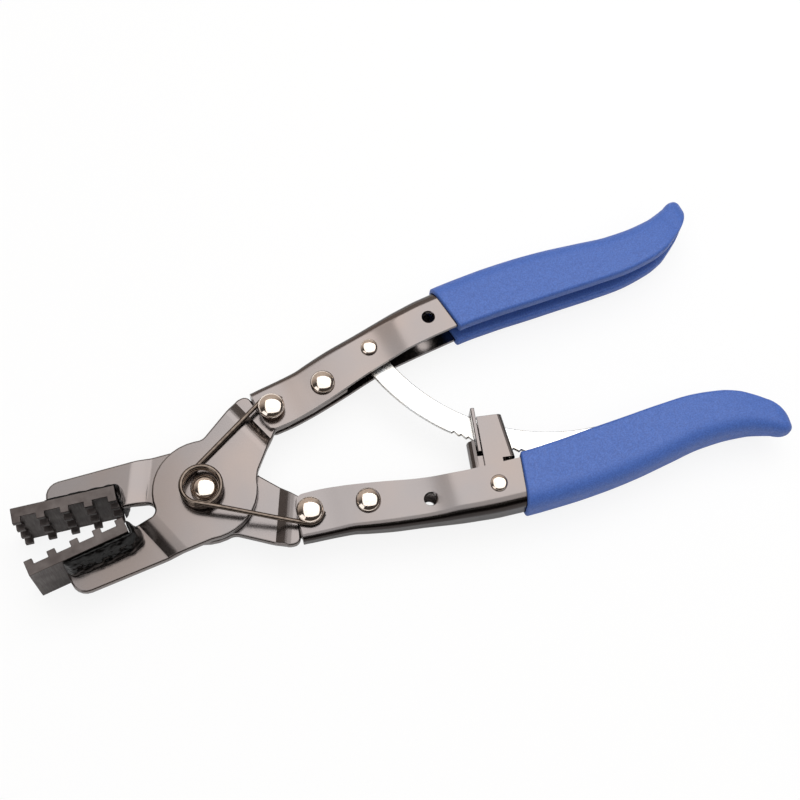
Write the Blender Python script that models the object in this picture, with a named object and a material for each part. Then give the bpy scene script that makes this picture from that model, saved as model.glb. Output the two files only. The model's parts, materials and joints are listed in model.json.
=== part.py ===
# Hose clamp pliers with toothed jaw blocks, a torsion spring that opens them and a ratchet bar.
#
# The pliers lie flat: +X runs from the pivot along the middle of the handles, +Y is towards the upper
# handle, +Z is towards the front. The origin is on the pivot's axis, on the flat face of its rear head.
# Both levers are one design. It is drawn as the closed pliers hold it, with its handle at +Y and its
# jaw at -Y, round the pivot in the middle plane. The rear lever is the same design turned about X.
import bpy
import bmesh
import math
import numpy as np
from mathutils import Vector

mm = 0.001
deg = math.pi / 180

# Opening in the rest pose
half_opening = 6.15 * deg

# Clearances
gap = 0.3 * mm
slip = 0.2 * mm
overrun = 2.0 * mm

# Stamped lever plates
plate_thickness = 3.0 * mm
body_radius = 17.1 * mm
arm_reach = 50.1 * mm
arm_offset = 14.4 * mm
arm_inner_offset = 1.1 * mm
arm_corner_radius = 5.0 * mm
crotch_radius = 2.5 * mm
ramp_lean = 17 * deg
arm_ramp_margin = 1.6 * mm
arm_ramp_length = 4.5 * mm
tab_ramp_start = 23.9 * mm
tab_ramp_length = 3.7 * mm
tab_reach = 57.5 * mm
tab_corner_radius = 2.4 * mm
tab_fillet_radius = 4.0 * mm

# Toothed jaw blocks
block_root = 27.5 * mm
block_length = 32.8 * mm
block_depth = 23.0 * mm
block_height = 3.3 * mm
tooth_height = 1.9 * mm
tooth_width = 2.7 * mm
tooth_thickness = 2.0 * mm
tooth_columns = 5
tooth_rows = 4

# Weld beads
weld_width = 3.6 * mm
weld_height = 9.2 * mm

# Section of a bead: its height and its width at that height, as shares of the whole
weld_section_shares = [(0.0, 1.0), (0.25, 0.94), (0.6, 0.7), (0.88, 0.42), (1.0, 0.2)]

# Channel handles
sheet = 1.5 * mm
handle_front = 27.0 * mm
handle_length = 161.0 * mm
channel_depth = 15.0 * mm
channel_width = 13.2 * mm
bend_radius = 2.6 * mm
edge_rounding = 0.25 * mm

# Each station of a handle: its place (0 at the front end, 1 at the lock pin, 2 at the tip), the heights
# of its web and of its flange edges above the middle line as shares of the channel's depth, and its
# width as a share of the channel's width
handle_station_shares = [
    (0.000, 1.633, 0.807, 0.515),
    (0.015, 1.633, 0.667, 0.515),
    (0.047, 1.640, 0.607, 0.515),
    (0.123, 1.647, 0.600, 0.515),
    (0.244, 1.667, 0.640, 0.560),
    (0.325, 1.727, 0.687, 0.605),
    (0.451, 1.813, 0.773, 0.680),
    (0.598, 1.880, 0.880, 0.770),
    (0.734, 1.947, 0.953, 0.850),
    (0.871, 2.000, 0.993, 0.925),
    (1.000, 2.033, 1.000, 1.000),
    (1.059, 2.033, 1.000, 1.000),
    (1.225, 1.993, 0.940, 1.000),
    (1.362, 1.913, 0.840, 1.000),
    (1.488, 1.793, 0.753, 1.000),
    (1.618, 1.620, 0.660, 1.000),
    (1.742, 1.460, 0.600, 0.970),
    (1.843, 1.413, 0.640, 0.910),
    (1.916, 1.433, 0.747, 0.820),
    (1.958, 1.487, 0.887, 0.730),
    (2.000, 1.560, 1.047, 0.610),
]

# Dipped grips; each starts a margin past the lock pin's place
coat = 1.6 * mm
upper_grip_margin = 5.6 * mm
lower_grip_margin = 7.4 * mm
grip_slant = 2.0 * mm
grip_tip_length = 7.0 * mm
grip_tip_rise = 4.0 * mm
grip_edge_rounding = 1.2 * mm
slot_end_margin = 7.5 * mm
slot_end_depth = 0.5 * mm

# Rivets and pins: places along a handle, with depths below its web
front_rivet_reach = 31.1 * mm
front_rivet_drop = 8.8 * mm
rear_rivet_reach = 50.2 * mm
rear_rivet_drop = 9.6 * mm
bar_pin_reach = 69.7 * mm
bar_pin_drop = 7.4 * mm
lock_pin_reach = 92.4 * mm
lock_pin_drop = 8.6 * mm
rivet_shank_radius = 2.4 * mm
front_head_radius = 4.4 * mm
rear_head_radius = 4.1 * mm
head_height = 2.5 * mm
tail_height = 1.2 * mm
pin_radius = 1.9 * mm
pin_head_radius = 2.8 * mm
pin_head_height = 1.3 * mm
neck_radius = 3.0 * mm

# Pivot
pivot_radius = 3.6 * mm
pivot_head_radius = 4.35 * mm
pivot_head_height = 2.6 * mm
washer_radius = 4.45 * mm
washer_thickness = 0.8 * mm
tail_washer_radius = 7.0 * mm
pivot_tail_radius = 5.5 * mm
pivot_tail_height = 1.6 * mm

# Return spring
wire_radius = 0.8 * mm
coil_radius = 6.4 * mm
coil_offset_x = -0.85 * mm
coil_offset_y = 0.2 * mm
coil_turns = 2
coil_pitch = 2.05 * mm
points_per_turn = 10
hook_sweep = 75 * deg
leg_points = 7

# Ratchet bar
bar_thickness = 1.6 * mm
bar_width = 7.7 * mm
bar_radius = 70.4 * mm
bar_tail_sweep = 38.85 * deg
bar_crossing = 21.45 * mm
tooth_depth = 0.9 * mm
tooth_pitch = 2.6 * mm
teeth_start_sweep = 32 * deg
bar_spacer_radius = 3.0 * mm

# Lock lever, its bar guide and pawl plate
lock_lean = 6.0 * deg
lock_sheet = 1.1 * mm
lock_left = 3.1 * mm
lock_right = 5.4 * mm
lock_flare = 3.6 * mm
lock_height = 24.6 * mm
lock_heel = 3.4 * mm
lock_bend_radius = 1.6 * mm
lock_web_bottom = 9.3 * mm
lock_window_bottom = 10.4 * mm
lock_window_top = 22.2 * mm
window_side = 0.8 * mm
pawl_thickness = 1.3 * mm
pawl_bottom = 12.3 * mm
pawl_top = 27.9 * mm
pawl_window_bottom = 14.7 * mm
pawl_window_top = 26.6 * mm
guide_sheet = 1.0 * mm
guide_reach = 7.3 * mm
guide_bend_radius = 2.6 * mm
guide_height = 17.0 * mm
guide_shoulder = 11.3 * mm
guide_heel = 2.8 * mm
lock_wire_radius = 0.4 * mm
lock_coil_radius = 2.75 * mm
lock_coil_pitch = 1.25 * mm
lock_leg_length = 8.5 * mm

arc_steps = 5
round_sides = 24

# Colours (linear), roughness and metallic value of each finish
finishes = {
    "black_steel": ((0.075, 0.066, 0.063, 1.0), 0.30, 1.0),
    "block_steel": ((0.060, 0.055, 0.052, 1.0), 0.45, 1.0),
    "weld": ((0.010, 0.010, 0.011, 1.0), 0.25, 0.6),
    "nickel": ((0.70, 0.66, 0.62, 1.0), 0.18, 1.0),
    "spring_wire": ((0.05, 0.05, 0.05, 1.0), 0.30, 1.0),
    "zinc": ((0.75, 0.75, 0.74, 1.0), 0.25, 1.0),
    "vinyl": ((0.035, 0.085, 0.46, 1.0), 0.50, 0.0),
}


def clear_scene():
    for item in list(bpy.data.objects):
        bpy.data.objects.remove(item)


def finish_material(finish):
    material = bpy.data.materials.get(finish) or bpy.data.materials.new(finish)
    material.use_nodes = True
    colour, roughness, metallic = finishes[finish]
    shader = material.node_tree.nodes["Principled BSDF"]
    shader.inputs["Base Color"].default_value = colour
    shader.inputs["Roughness"].default_value = roughness
    shader.inputs["Metallic"].default_value = metallic
    return material


def frame_empty(name, parent=None, place=(0, 0, 0), turn=(0, 0, 0)):
    empty = bpy.data.objects.new(name, None)
    bpy.context.collection.objects.link(empty)
    empty.parent = parent
    empty.location = place
    empty.rotation_euler = turn
    return empty


def add_piece(name, bm, parent, finish):
    bmesh.ops.recalc_face_normals(bm, faces=bm.faces[:])
    mesh = bpy.data.meshes.new(name)
    bm.to_mesh(mesh)
    bm.free()
    mesh.shade_smooth()
    mesh.set_sharp_from_angle(angle=40 * deg)
    piece = bpy.data.objects.new(name, mesh)
    bpy.context.collection.objects.link(piece)
    piece.parent = parent
    mesh.materials.append(finish_material(finish))
    return piece


def cut(piece, cutter):
    cutter.hide_render = True
    cutter.display_type = "WIRE"
    modifier = piece.modifiers.new(cutter.name, "BOOLEAN")
    modifier.operation = "DIFFERENCE"
    modifier.solver = "EXACT"
    modifier.object = cutter


# Shapes

def circle_points(radius, z, x=0, y=0, sides=round_sides):
    angles = [2 * math.pi * i / sides for i in range(sides)]
    return [(x + radius * math.cos(a), y + radius * math.sin(a), z) for a in angles]


def arc_points(radius, start, end, steps, x=0, y=0):
    angles = [start + (end - start) * i / steps for i in range(steps + 1)]
    return [(x + radius * math.cos(a), y + radius * math.sin(a)) for a in angles]


# Closed body through rings of equal count, capped at both ends or joined into a loop
def loft(rings, loop=False):
    bm = bmesh.new()
    rows = [[bm.verts.new(point) for point in ring] for ring in rings]
    pairs = list(zip(rows, rows[1:]))
    if loop:
        pairs.append((rows[-1], rows[0]))
    for lower, upper in pairs:
        for i, start in enumerate(lower):
            j = (i + 1) % len(lower)
            bm.faces.new((start, lower[j], upper[j], upper[i]))
    if not loop:
        bm.faces.new(rows[0])
        bm.faces.new(rows[-1])
    return bm


def prism(outline, low, high):
    return loft([[(x, y, z) for x, y in outline] for z in (low, high)])


# Body turned about Z: the profile holds radius and height pairs
def turned(profile, x=0, y=0, loop=False, sides=round_sides):
    return loft([circle_points(radius, z, x, y, sides) for radius, z in profile], loop)


# Corners are x, y and fillet radius; a radius of zero keeps the point
def filleted(corners, steps=arc_steps):
    points = []
    count = len(corners)
    for i, (x, y, radius) in enumerate(corners):
        if not radius:
            points.append((x, y))
            continue
        here = Vector((x, y))
        before = (Vector(corners[i - 1][:2]) - here).normalized()
        after = (Vector(corners[(i + 1) % count][:2]) - here).normalized()
        half = before.angle(after) / 2
        centre = here + (before + after).normalized() * (radius / math.sin(half))
        first = here + before * (radius / math.tan(half)) - centre
        last = here + after * (radius / math.tan(half)) - centre
        sweep = first.angle(last)
        for k in range(steps + 1):
            t = sweep * k / steps
            a = math.sin(sweep - t) / math.sin(sweep)
            b = math.sin(t) / math.sin(sweep)
            point = centre + first * a + last * b
            points.append((point.x, point.y))
    return points


def smooth(t):
    t = min(max(t, 0), 1)
    return t * t * (3 - 2 * t)


# Handle sizes at a place along it

def station_places():
    ends = (handle_front, lock_pin_reach, handle_front + handle_length)
    return [float(np.interp(share[0], (0, 1, 2), ends)) for share in handle_station_shares]


def handle_value(x, column):
    return float(np.interp(x, station_places(), [share[column] for share in handle_station_shares]))


def web_height(x):
    return handle_value(x, 1) * channel_depth


def edge_height(x):
    return handle_value(x, 2) * channel_depth


def half_width(x):
    return handle_value(x, 3) * channel_width / 2


front_rivet_place = (front_rivet_reach, web_height(front_rivet_reach) - front_rivet_drop)
rear_rivet_place = (rear_rivet_reach, web_height(rear_rivet_reach) - rear_rivet_drop)
bar_pin_place = (bar_pin_reach, web_height(bar_pin_reach) - bar_pin_drop)
lock_pin_place = (lock_pin_reach, web_height(lock_pin_reach) - lock_pin_drop)
plate_level = plate_thickness / 2 + gap / 2
plate_front = plate_level + plate_thickness / 2
block_back = block_height + tooth_height
lock_width = 2 * (half_width(lock_pin_reach - lock_left - gap) - sheet - slip)


# Lever plate: round body, jaw arm and handle tab

def plate_outline():
    notch_x = gap - block_root
    notch_y = -block_back - gap
    shoulder = handle_front - 2 * gap
    corners = [
        (notch_x, notch_y, 0),
        (notch_x, -arm_inner_offset, 0),
        (-body_radius, -arm_inner_offset * 0.8, crotch_radius),
    ]
    corners += [(x, y, 0) for x, y in arc_points(body_radius, 168 * deg, 78 * deg, 2 * arc_steps)]
    tab_top = web_height(handle_front)
    corners += [
        (body_radius * 0.36, body_radius * 0.94, tab_fillet_radius),
        (shoulder - 1.7 * tab_corner_radius, tab_top, tab_corner_radius),
        (shoulder, tab_top + gap, tab_corner_radius),
    ]
    inside = [shoulder + (tab_reach - shoulder) * share for share in (0, 0.25, 0.55, 0.78, 1)]
    corners += [(x, web_height(x) - sheet - gap, 0) for x in inside]
    corners += [(x, edge_height(x) + gap, 0) for x in reversed(inside[1:])]
    corners += [
        (handle_front + tab_corner_radius, edge_height(handle_front + tab_fillet_radius) + gap, 0),
        (body_radius * 1.06, -body_radius * 0.09, tab_fillet_radius),
    ]
    corners += [(x, y, 0) for x, y in arc_points(body_radius, -14 * deg, -106 * deg, 2 * arc_steps)]
    corners += [
        (-arm_reach, -arm_offset, arm_corner_radius),
        (-arm_reach, notch_y, 0),
    ]
    return filleted(corners)


# How far a point of the plate has stepped from the body's level to the middle plane
def plate_step(x, y):
    toward_jaw = -x * math.cos(ramp_lean) - y * math.sin(ramp_lean)
    toward_tab = x * math.cos(ramp_lean) + y * math.sin(ramp_lean)
    arm_share = (toward_jaw - body_radius - arm_ramp_margin) / arm_ramp_length
    tab_share = (toward_tab - tab_ramp_start) / tab_ramp_length
    return max(smooth(arm_share), smooth(tab_share))


def lever_plate(name, frame):
    bm = prism(plate_outline(), -plate_thickness / 2, plate_thickness / 2)
    normal = Vector((math.cos(ramp_lean), math.sin(ramp_lean), 0))
    steps = 4
    for i in range(steps + 1):
        for distance in (-body_radius - arm_ramp_margin - arm_ramp_length * i / steps,
                         tab_ramp_start + tab_ramp_length * i / steps):
            geometry = bm.verts[:] + bm.edges[:] + bm.faces[:]
            bmesh.ops.bisect_plane(bm, geom=geometry, plane_co=normal * distance, plane_no=normal)
    for vert in bm.verts:
        vert.co.z += plate_level * (1 - plate_step(vert.co.x, vert.co.y))
    plate = add_piece(name, bm, frame, "black_steel")
    reach = plate_thickness + overrun
    holes = [
        ((0, 0), pivot_radius + slip),
        (front_rivet_place, rivet_shank_radius + slip),
        (rear_rivet_place, rivet_shank_radius + slip),
    ]
    for i, ((x, y), radius) in enumerate(holes):
        profile = [(radius, -reach), (radius, reach)]
        cut(plate, add_piece(f"{name}_hole_{i}", turned(profile, x, y), frame, "black_steel"))
    return plate


# Jaw block: a bar with columns of teeth in rows through its depth

def jaw_block(name, frame):
    left = -block_root - block_length
    bm = prism([(left, -block_back), (-block_root, -block_back),
                (-block_root, -tooth_height), (left, -tooth_height)],
               -block_depth / 2, block_depth / 2)
    column_pitch = (block_length - tooth_width) / (tooth_columns - 1)
    row_pitch = (block_depth - tooth_thickness) / (tooth_rows - 1)
    columns = [left + column_pitch * i for i in range(tooth_columns)]
    rows = [-block_depth / 2 + row_pitch * i for i in range(tooth_rows)]
    slices = [(Vector((x, 0, 0)), Vector((1, 0, 0)))
              for start in columns for x in (start, start + tooth_width)]
    slices += [(Vector((0, 0, z)), Vector((0, 0, 1)))
               for start in rows for z in (start, start + tooth_thickness)]
    for point, normal in slices:
        geometry = bm.verts[:] + bm.edges[:] + bm.faces[:]
        bmesh.ops.bisect_plane(bm, geom=geometry, dist=gap * 0.01, plane_co=point, plane_no=normal)

    def is_tooth(face):
        centre = face.calc_center_median()
        on_top = centre.y > -tooth_height - gap * 0.1
        in_column = any(x < centre.x < x + tooth_width for x in columns)
        in_row = any(z < centre.z < z + tooth_thickness for z in rows)
        return on_top and in_column and in_row

    bm.normal_update()
    seats = [face for face in bm.faces if is_tooth(face)]
    grown = bmesh.ops.extrude_discrete_faces(bm, faces=seats)["faces"]
    tips = {vert for face in grown for vert in face.verts}
    bmesh.ops.translate(bm, verts=list(tips), vec=(0, tooth_height, 0))
    return add_piece(name, bm, frame, "block_steel")


# Weld bead along the block's back and round its inner end, on one side of the arm. It leans on the
# block like a fillet, wide on the arm and narrow near the block's front face
def weld_bead(name, frame, side):
    left = -arm_reach
    right = gap - block_root
    back = -block_back - gap
    corners = [
        (left, back, 0),
        (right, back, 0),
        (right, -arm_inner_offset, 0),
        (right + weld_width * 0.55, -arm_inner_offset - gap, 0),
        (right + weld_width, back * 0.68, weld_width * 0.3),
        (right + weld_width * 0.85, back - weld_width * 0.7, weld_width * 0.5),
        (right - weld_width * 0.6, back - weld_width * 1.04, weld_width * 0.5),
        ((left + right) / 2, back - weld_width, 0),
        (left + weld_width * 0.5, back - weld_width * 0.8, weld_width * 0.4),
    ]
    low = plate_thickness / 2 + slip
    rings = []
    for rise, spread in weld_section_shares:
        z = side * (low + weld_height * rise)
        rings.append([(min(x, right + (x - right) * spread), max(y, back + (y - back) * spread), z)
                      for x, y in filleted(corners, 3)])
    return add_piece(name, loft(rings), frame, "weld")


# Ring of a U section across a handle at x, open towards the middle line
def channel_ring(x, top, edge, floor, half, wall, outer_radius, edge_radius, slant=0):
    inner = half - wall
    inner_radius = min(outer_radius - wall, inner * 0.8) if outer_radius > wall else inner * 0.2
    quarter = math.pi / 2
    corners = [
        (edge + edge_radius, half - edge_radius, edge_radius, 2 * quarter, quarter, 1),
        (top - outer_radius, half - outer_radius, outer_radius, quarter, 0, 3),
        (top - outer_radius, outer_radius - half, outer_radius, 0, -quarter, 3),
        (edge + edge_radius, edge_radius - half, edge_radius, -quarter, -2 * quarter, 1),
        (edge + edge_radius, -inner - edge_radius, edge_radius, 2 * quarter, quarter, 1),
        (floor - inner_radius, inner_radius - inner, inner_radius, -quarter, 0, 2),
        (floor - inner_radius, inner - inner_radius, inner_radius, 0, quarter, 2),
        (edge + edge_radius, inner + edge_radius, edge_radius, -quarter, -2 * quarter, 1),
    ]
    ring = []
    for y, z, radius, start, end, steps in corners:
        for rise, side in arc_points(radius, start, end, steps, y, z):
            ring.append((x + slant * (top - rise) / (top - edge), rise, side))
    return ring


def steel_ring(x, grow=0, slant=0):
    top = web_height(x)
    half = half_width(x)
    wall = sheet + 2 * grow
    return channel_ring(x, top + grow, edge_height(x) - grow, top - sheet - grow, half + grow, wall,
                        min(bend_radius, half * 0.6) + grow, edge_rounding, slant)


def channel_handle(name, frame):
    rings = [steel_ring(x) for x in station_places()]
    handle = add_piece(name, loft(rings), frame, "black_steel")
    holes = [
        (front_rivet_place, rivet_shank_radius),
        (rear_rivet_place, rivet_shank_radius),
        (bar_pin_place, pin_radius),
        (lock_pin_place, pin_radius),
    ]
    for i, ((x, y), radius) in enumerate(holes):
        profile = [(radius + slip, -channel_width), (radius + slip, channel_width)]
        cut(handle, add_piece(f"{name}_hole_{i}", turned(profile, x, y), frame, "black_steel"))
    return handle


# Grip: a dipped coat inside and outside the channel, closed and rounded at the tip
def grip_outer_ring(x, slant):
    steel_end = handle_front + handle_length
    top = web_height(x) + coat
    edge = edge_height(x) - coat
    half = half_width(x) + coat
    wall = sheet + 2 * coat
    closing = smooth((x - steel_end + slot_end_margin) / (slot_end_margin * 0.6))
    floor = web_height(x) - sheet - coat
    floor += (edge + slot_end_depth - floor) * closing
    wall += (half * 0.9 - wall) * closing
    wall = min(wall, half - slip * 3)
    rounding = grip_edge_rounding + (slot_end_depth * 0.8 - grip_edge_rounding) * closing
    return channel_ring(x, top, edge, floor, half, wall, min(bend_radius + coat, half * 0.7),
                        rounding, slant)


def grip(name, frame, margin):
    steel_end = handle_front + handle_length
    start = lock_pin_reach + margin
    places = [start] + [x for x in station_places() if x > start]
    slants = [grip_slant] + [0] * (len(places) - 1)
    outer = [grip_outer_ring(x, slant) for x, slant in zip(places, slants)]
    last = outer[-1]
    middle = (min(p[1] for p in last) + max(p[1] for p in last)) / 2
    for i in range(1, 5):
        shrink = math.cos(i * 20 * deg)
        reach = math.sin(i * 20 * deg)
        x = steel_end + grip_tip_length * reach
        rise = middle + grip_tip_rise * reach
        outer.append([(x, rise + (p[1] - middle) * shrink, p[2] * shrink) for p in last])
    inner = [steel_ring(x, slip, slant) for x, slant in zip(places[:-1], slants)]
    inner.append([(steel_end + gap, y, z) for _, y, z in steel_ring(steel_end, slip)])
    return add_piece(name, loft(list(reversed(inner)) + outer), frame, "vinyl")


# Rivets and pins. The side is +1 where the head faces the lever's own +Z

def head_profile(radius, base, height, steps=4):
    angles = [75 * deg * i / steps for i in range(steps + 1)]
    return [(radius * math.cos(a), base + height * math.sin(a)) for a in angles]


def rivet(name, frame, place, shank, head, low, high, side, neck=0, rise=head_height):
    profile = [(shank * 1.25, -low - tail_height), (shank * 1.55, -low - tail_height * 0.4),
               (shank * 1.55, -low), (shank, -low)]
    if neck:
        profile += [(shank, high), (neck_radius, high), (neck_radius, high + neck)]
    else:
        profile += [(shank, high)]
    profile += head_profile(head, high + neck, rise)
    profile = [(radius, side * z) for radius, z in profile]
    return add_piece(name, turned(profile, place[0], place[1], sides=20), frame, "nickel")


def seat_height(reach, radius):
    return half_width(reach + radius) + slip


spring_neck = 2 * wire_radius + 2 * gap
front_seat = seat_height(front_rivet_reach, front_head_radius)
rear_seat = seat_height(rear_rivet_reach, rear_head_radius)
bar_seat = seat_height(bar_pin_reach, pin_head_radius)
lock_seat = seat_height(lock_pin_reach, pin_head_radius)


def handle_rivets(prefix, frame, side):
    rivet(f"{prefix}_front_rivet", frame, front_rivet_place, rivet_shank_radius, front_head_radius,
          front_seat, front_seat, side, neck=spring_neck)
    rivet(f"{prefix}_rear_rivet", frame, rear_rivet_place, rivet_shank_radius, rear_head_radius,
          rear_seat, rear_seat, side)


def lever(frame, plate, handle, jaw, grip_margin, side):
    lever_plate(plate, frame)
    jaw_block(f"{jaw}_jaw_block", frame)
    weld_bead(f"{jaw}_jaw_front_weld", frame, side)
    weld_bead(f"{jaw}_jaw_rear_weld", frame, -side)
    channel_handle(f"{handle}_handle", frame)
    grip(f"{handle}_grip", frame, grip_margin)
    handle_rivets(handle, frame, side)


# Pivot rivet, the washers under its heads and the return spring wound round it

def ring_profile(inner, outer, low, high):
    return [(inner, low), (outer, low), (outer, high), (inner, high)]


pivot_tail_top = plate_front + slip + washer_thickness + slip
pivot_tail_face = pivot_tail_top + pivot_tail_height


def pivot_parts(frame):
    front = plate_front + slip
    head = front + washer_thickness + slip
    profile = [
        (pivot_tail_radius, -pivot_tail_face),
        (pivot_tail_radius, -pivot_tail_top),
        (pivot_radius, -pivot_tail_top),
        (pivot_radius, head),
    ]
    profile += head_profile(pivot_head_radius, head, pivot_head_height, 5)
    add_piece("pivot_rivet", turned(profile), frame, "nickel")
    hole = pivot_radius + slip
    add_piece("pivot_front_washer", turned(ring_profile(hole, washer_radius, front,
              front + washer_thickness), loop=True), frame, "nickel")
    add_piece("pivot_rear_washer", turned(ring_profile(hole, tail_washer_radius,
              -front - washer_thickness, -front), loop=True), frame, "black_steel")


def turned_place(place, angle):
    x, y = place
    return Vector((x * math.cos(angle) - y * math.sin(angle), x * math.sin(angle) + y * math.cos(angle)))


# Heading of the straight run between two circles that the wire passes anticlockwise
def run_heading(first, first_radius, second, second_radius):
    across = second - first
    return math.atan2(across.y, across.x) + math.asin((first_radius - second_radius) / across.length)


def circle_place(centre, radius, heading):
    return centre + Vector((math.sin(heading), -math.cos(heading))) * radius


def least_gap(points, radius, apart):
    distances = [(points[i] - points[j]).length
                 for i in range(len(points)) for j in range(i + apart, len(points))]
    return min(distances) - 2 * radius


def wire_object(name, points, radius, frame, finish):
    curve = bpy.data.curves.new(name, "CURVE")
    curve.dimensions = "3D"
    spline = curve.splines.new("POLY")
    spline.points.add(len(points) - 1)
    for target, point in zip(spline.points, points):
        target.co = (*point, 1)
    curve.bevel_depth = radius
    curve.bevel_resolution = 1
    curve.use_fill_caps = True
    curve.materials.append(finish_material(finish))
    wire = bpy.data.objects.new(name, curve)
    bpy.context.collection.objects.link(wire)
    wire.parent = frame
    return wire


def hook_points(centre, radius, heading, height, sweep, steps=4):
    hook = []
    for i in range(steps):
        spot = circle_place(centre, radius, heading + sweep * (1 - i / steps))
        hook.append(Vector((spot.x, spot.y, height)))
    outward = Vector((math.cos(heading + sweep), math.sin(heading + sweep), 0))
    return [hook[0] + outward * (math.copysign(2 * wire_radius, sweep))] + hook


def return_spring(frame):
    upper = turned_place(front_rivet_place, half_opening)
    lower = turned_place((front_rivet_place[0], -front_rivet_place[1]), -half_opening)
    coil = Vector((coil_offset_x, coil_offset_y))
    hook_radius = neck_radius + gap + wire_radius
    hook_height = half_width(front_rivet_reach) + slip + gap + wire_radius
    coil_height = plate_front + gap + wire_radius
    coming = run_heading(upper, hook_radius, coil, coil_radius)
    going = run_heading(coil, coil_radius, lower, hook_radius)
    turn = (going - coming) % (2 * math.pi) + coil_turns * 2 * math.pi
    coil_top = coil_height + coil_pitch * turn / (2 * math.pi)

    def run(start, end, low, high):
        points = []
        for i in range(leg_points + 1):
            spot = start.lerp(end, i / leg_points)
            points.append(Vector((spot.x, spot.y, low + (high - low) * smooth(i / leg_points))))
        return points

    points = hook_points(upper, hook_radius, coming, hook_height, -hook_sweep)
    points += run(circle_place(upper, hook_radius, coming), circle_place(coil, coil_radius, coming),
                  hook_height, coil_height)
    steps = round(points_per_turn * turn / (2 * math.pi))
    for i in range(1, steps):
        spot = circle_place(coil, coil_radius, coming + turn * i / steps)
        points.append(Vector((spot.x, spot.y, coil_height + (coil_top - coil_height) * i / steps)))
    points += run(circle_place(coil, coil_radius, going), circle_place(lower, hook_radius, going),
                  coil_top, hook_height)
    points += reversed(hook_points(lower, hook_radius, going, hook_height, hook_sweep))
    print("return_spring least gap to itself, mm:",
          round(least_gap(points, wire_radius, points_per_turn // 2) / mm, 2))
    wire_object("return_spring", points, wire_radius, frame, "spring_wire")


# Ratchet bar: its frame has the bar leaving the pin along +X and curving towards +Y. At rest its
# middle line crosses the pawl plate at the crossing's height above the lock pin

pawl_middle = -lock_left - slip - pawl_thickness / 2
pawl_place = turned_place((pawl_middle, -bar_crossing), lock_lean) + Vector(lock_pin_place)
bar_chord = turned_place((pawl_place.x, -pawl_place.y), -2 * half_opening) - Vector(bar_pin_place)
chord_sweep = 2 * math.asin(bar_chord.length / (2 * bar_radius))
bar_rest_angle = math.atan2(bar_chord.y, bar_chord.x) - chord_sweep / 2
bar_sweep = chord_sweep + bar_tail_sweep


def bar_point(radius, sweep):
    return (radius * math.sin(sweep), bar_radius - radius * math.cos(sweep))


def ratchet_bar(frame):
    inner = bar_radius - bar_width / 2
    outer = bar_radius + bar_width / 2
    steps = 20
    points = [bar_point(inner, bar_sweep * (1 - i / steps)) for i in range(steps)]
    points += arc_points(bar_width / 2, 90 * deg, 270 * deg, 2 * arc_steps)
    points += [bar_point(outer, teeth_start_sweep * i / 10) for i in range(1, 10)]
    teeth = int((bar_sweep - teeth_start_sweep) * outer / tooth_pitch)
    pitch = tooth_pitch / outer
    for i in range(teeth):
        start = teeth_start_sweep + pitch * i
        points.append(bar_point(outer, start))
        points.append(bar_point(outer - tooth_depth, start + pitch * 0.15))
    points.append(bar_point(outer, teeth_start_sweep + pitch * teeth))
    points.append(bar_point(outer, bar_sweep))
    bm = prism(points, -bar_thickness / 2, bar_thickness / 2)
    bar = add_piece("ratchet_bar", bm, frame, "zinc")
    profile = [(pin_radius + slip, -overrun), (pin_radius + slip, overrun)]
    cut(bar, add_piece("ratchet_bar_hole", turned(profile), frame, "zinc"))


def bar_mounting(frame):
    x, y = bar_pin_place
    rivet("ratchet_bar_pin", frame, bar_pin_place, pin_radius, pin_head_radius, bar_seat, bar_seat, 1,
          rise=pin_head_height)
    inside = half_width(bar_pin_reach - bar_spacer_radius) - sheet - gap
    near = bar_thickness / 2 + gap
    for label, side in (("front", 1), ("rear", -1)):
        profile = ring_profile(pin_radius + slip, bar_spacer_radius, side * near, side * inside)
        add_piece(f"bar_{label}_spacer", turned(profile, x, y, loop=True, sides=20), frame, "nickel")


# Lock lever, pawl plate, bar guide and lock spring. Their frame stands at the lock pin, with +Y up
# along the lever and +X towards the grips

def box_outline(left, right, low, high):
    return [(left, low), (right, low), (right, high), (left, high)]


# Section of a bent sheet: its web faces +X or -X and its flanges run back from it
def bent_ring(web_x, flange_end, y, half, wall, radius):
    side = math.copysign(1, web_x - flange_end)
    ring = []
    for reach, rim, bend in ((0, half, radius), (wall, half - wall, radius - wall)):
        corner = web_x - side * (reach + bend)
        turn = arc_points(bend, 90 * deg, 0, 3, 0, rim - bend)
        turn += arc_points(bend, 0, -90 * deg, 3, 0, bend - rim)
        path = [(flange_end, y, rim)]
        path += [(corner + side * x, y, z) for x, z in turn]
        path += [(flange_end, y, -rim)]
        ring += path if reach == 0 else list(reversed(path))
    return ring


# U of bent sheet standing along Y, with its web at one place at the bottom and another at the top
def bent_sheet(web_low, web_high, flange_end, half, wall, low, high, radius):
    return loft([bent_ring(web_low, flange_end, low, half, wall, radius),
                 bent_ring(web_high, flange_end, high, half, wall, radius)])


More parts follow.
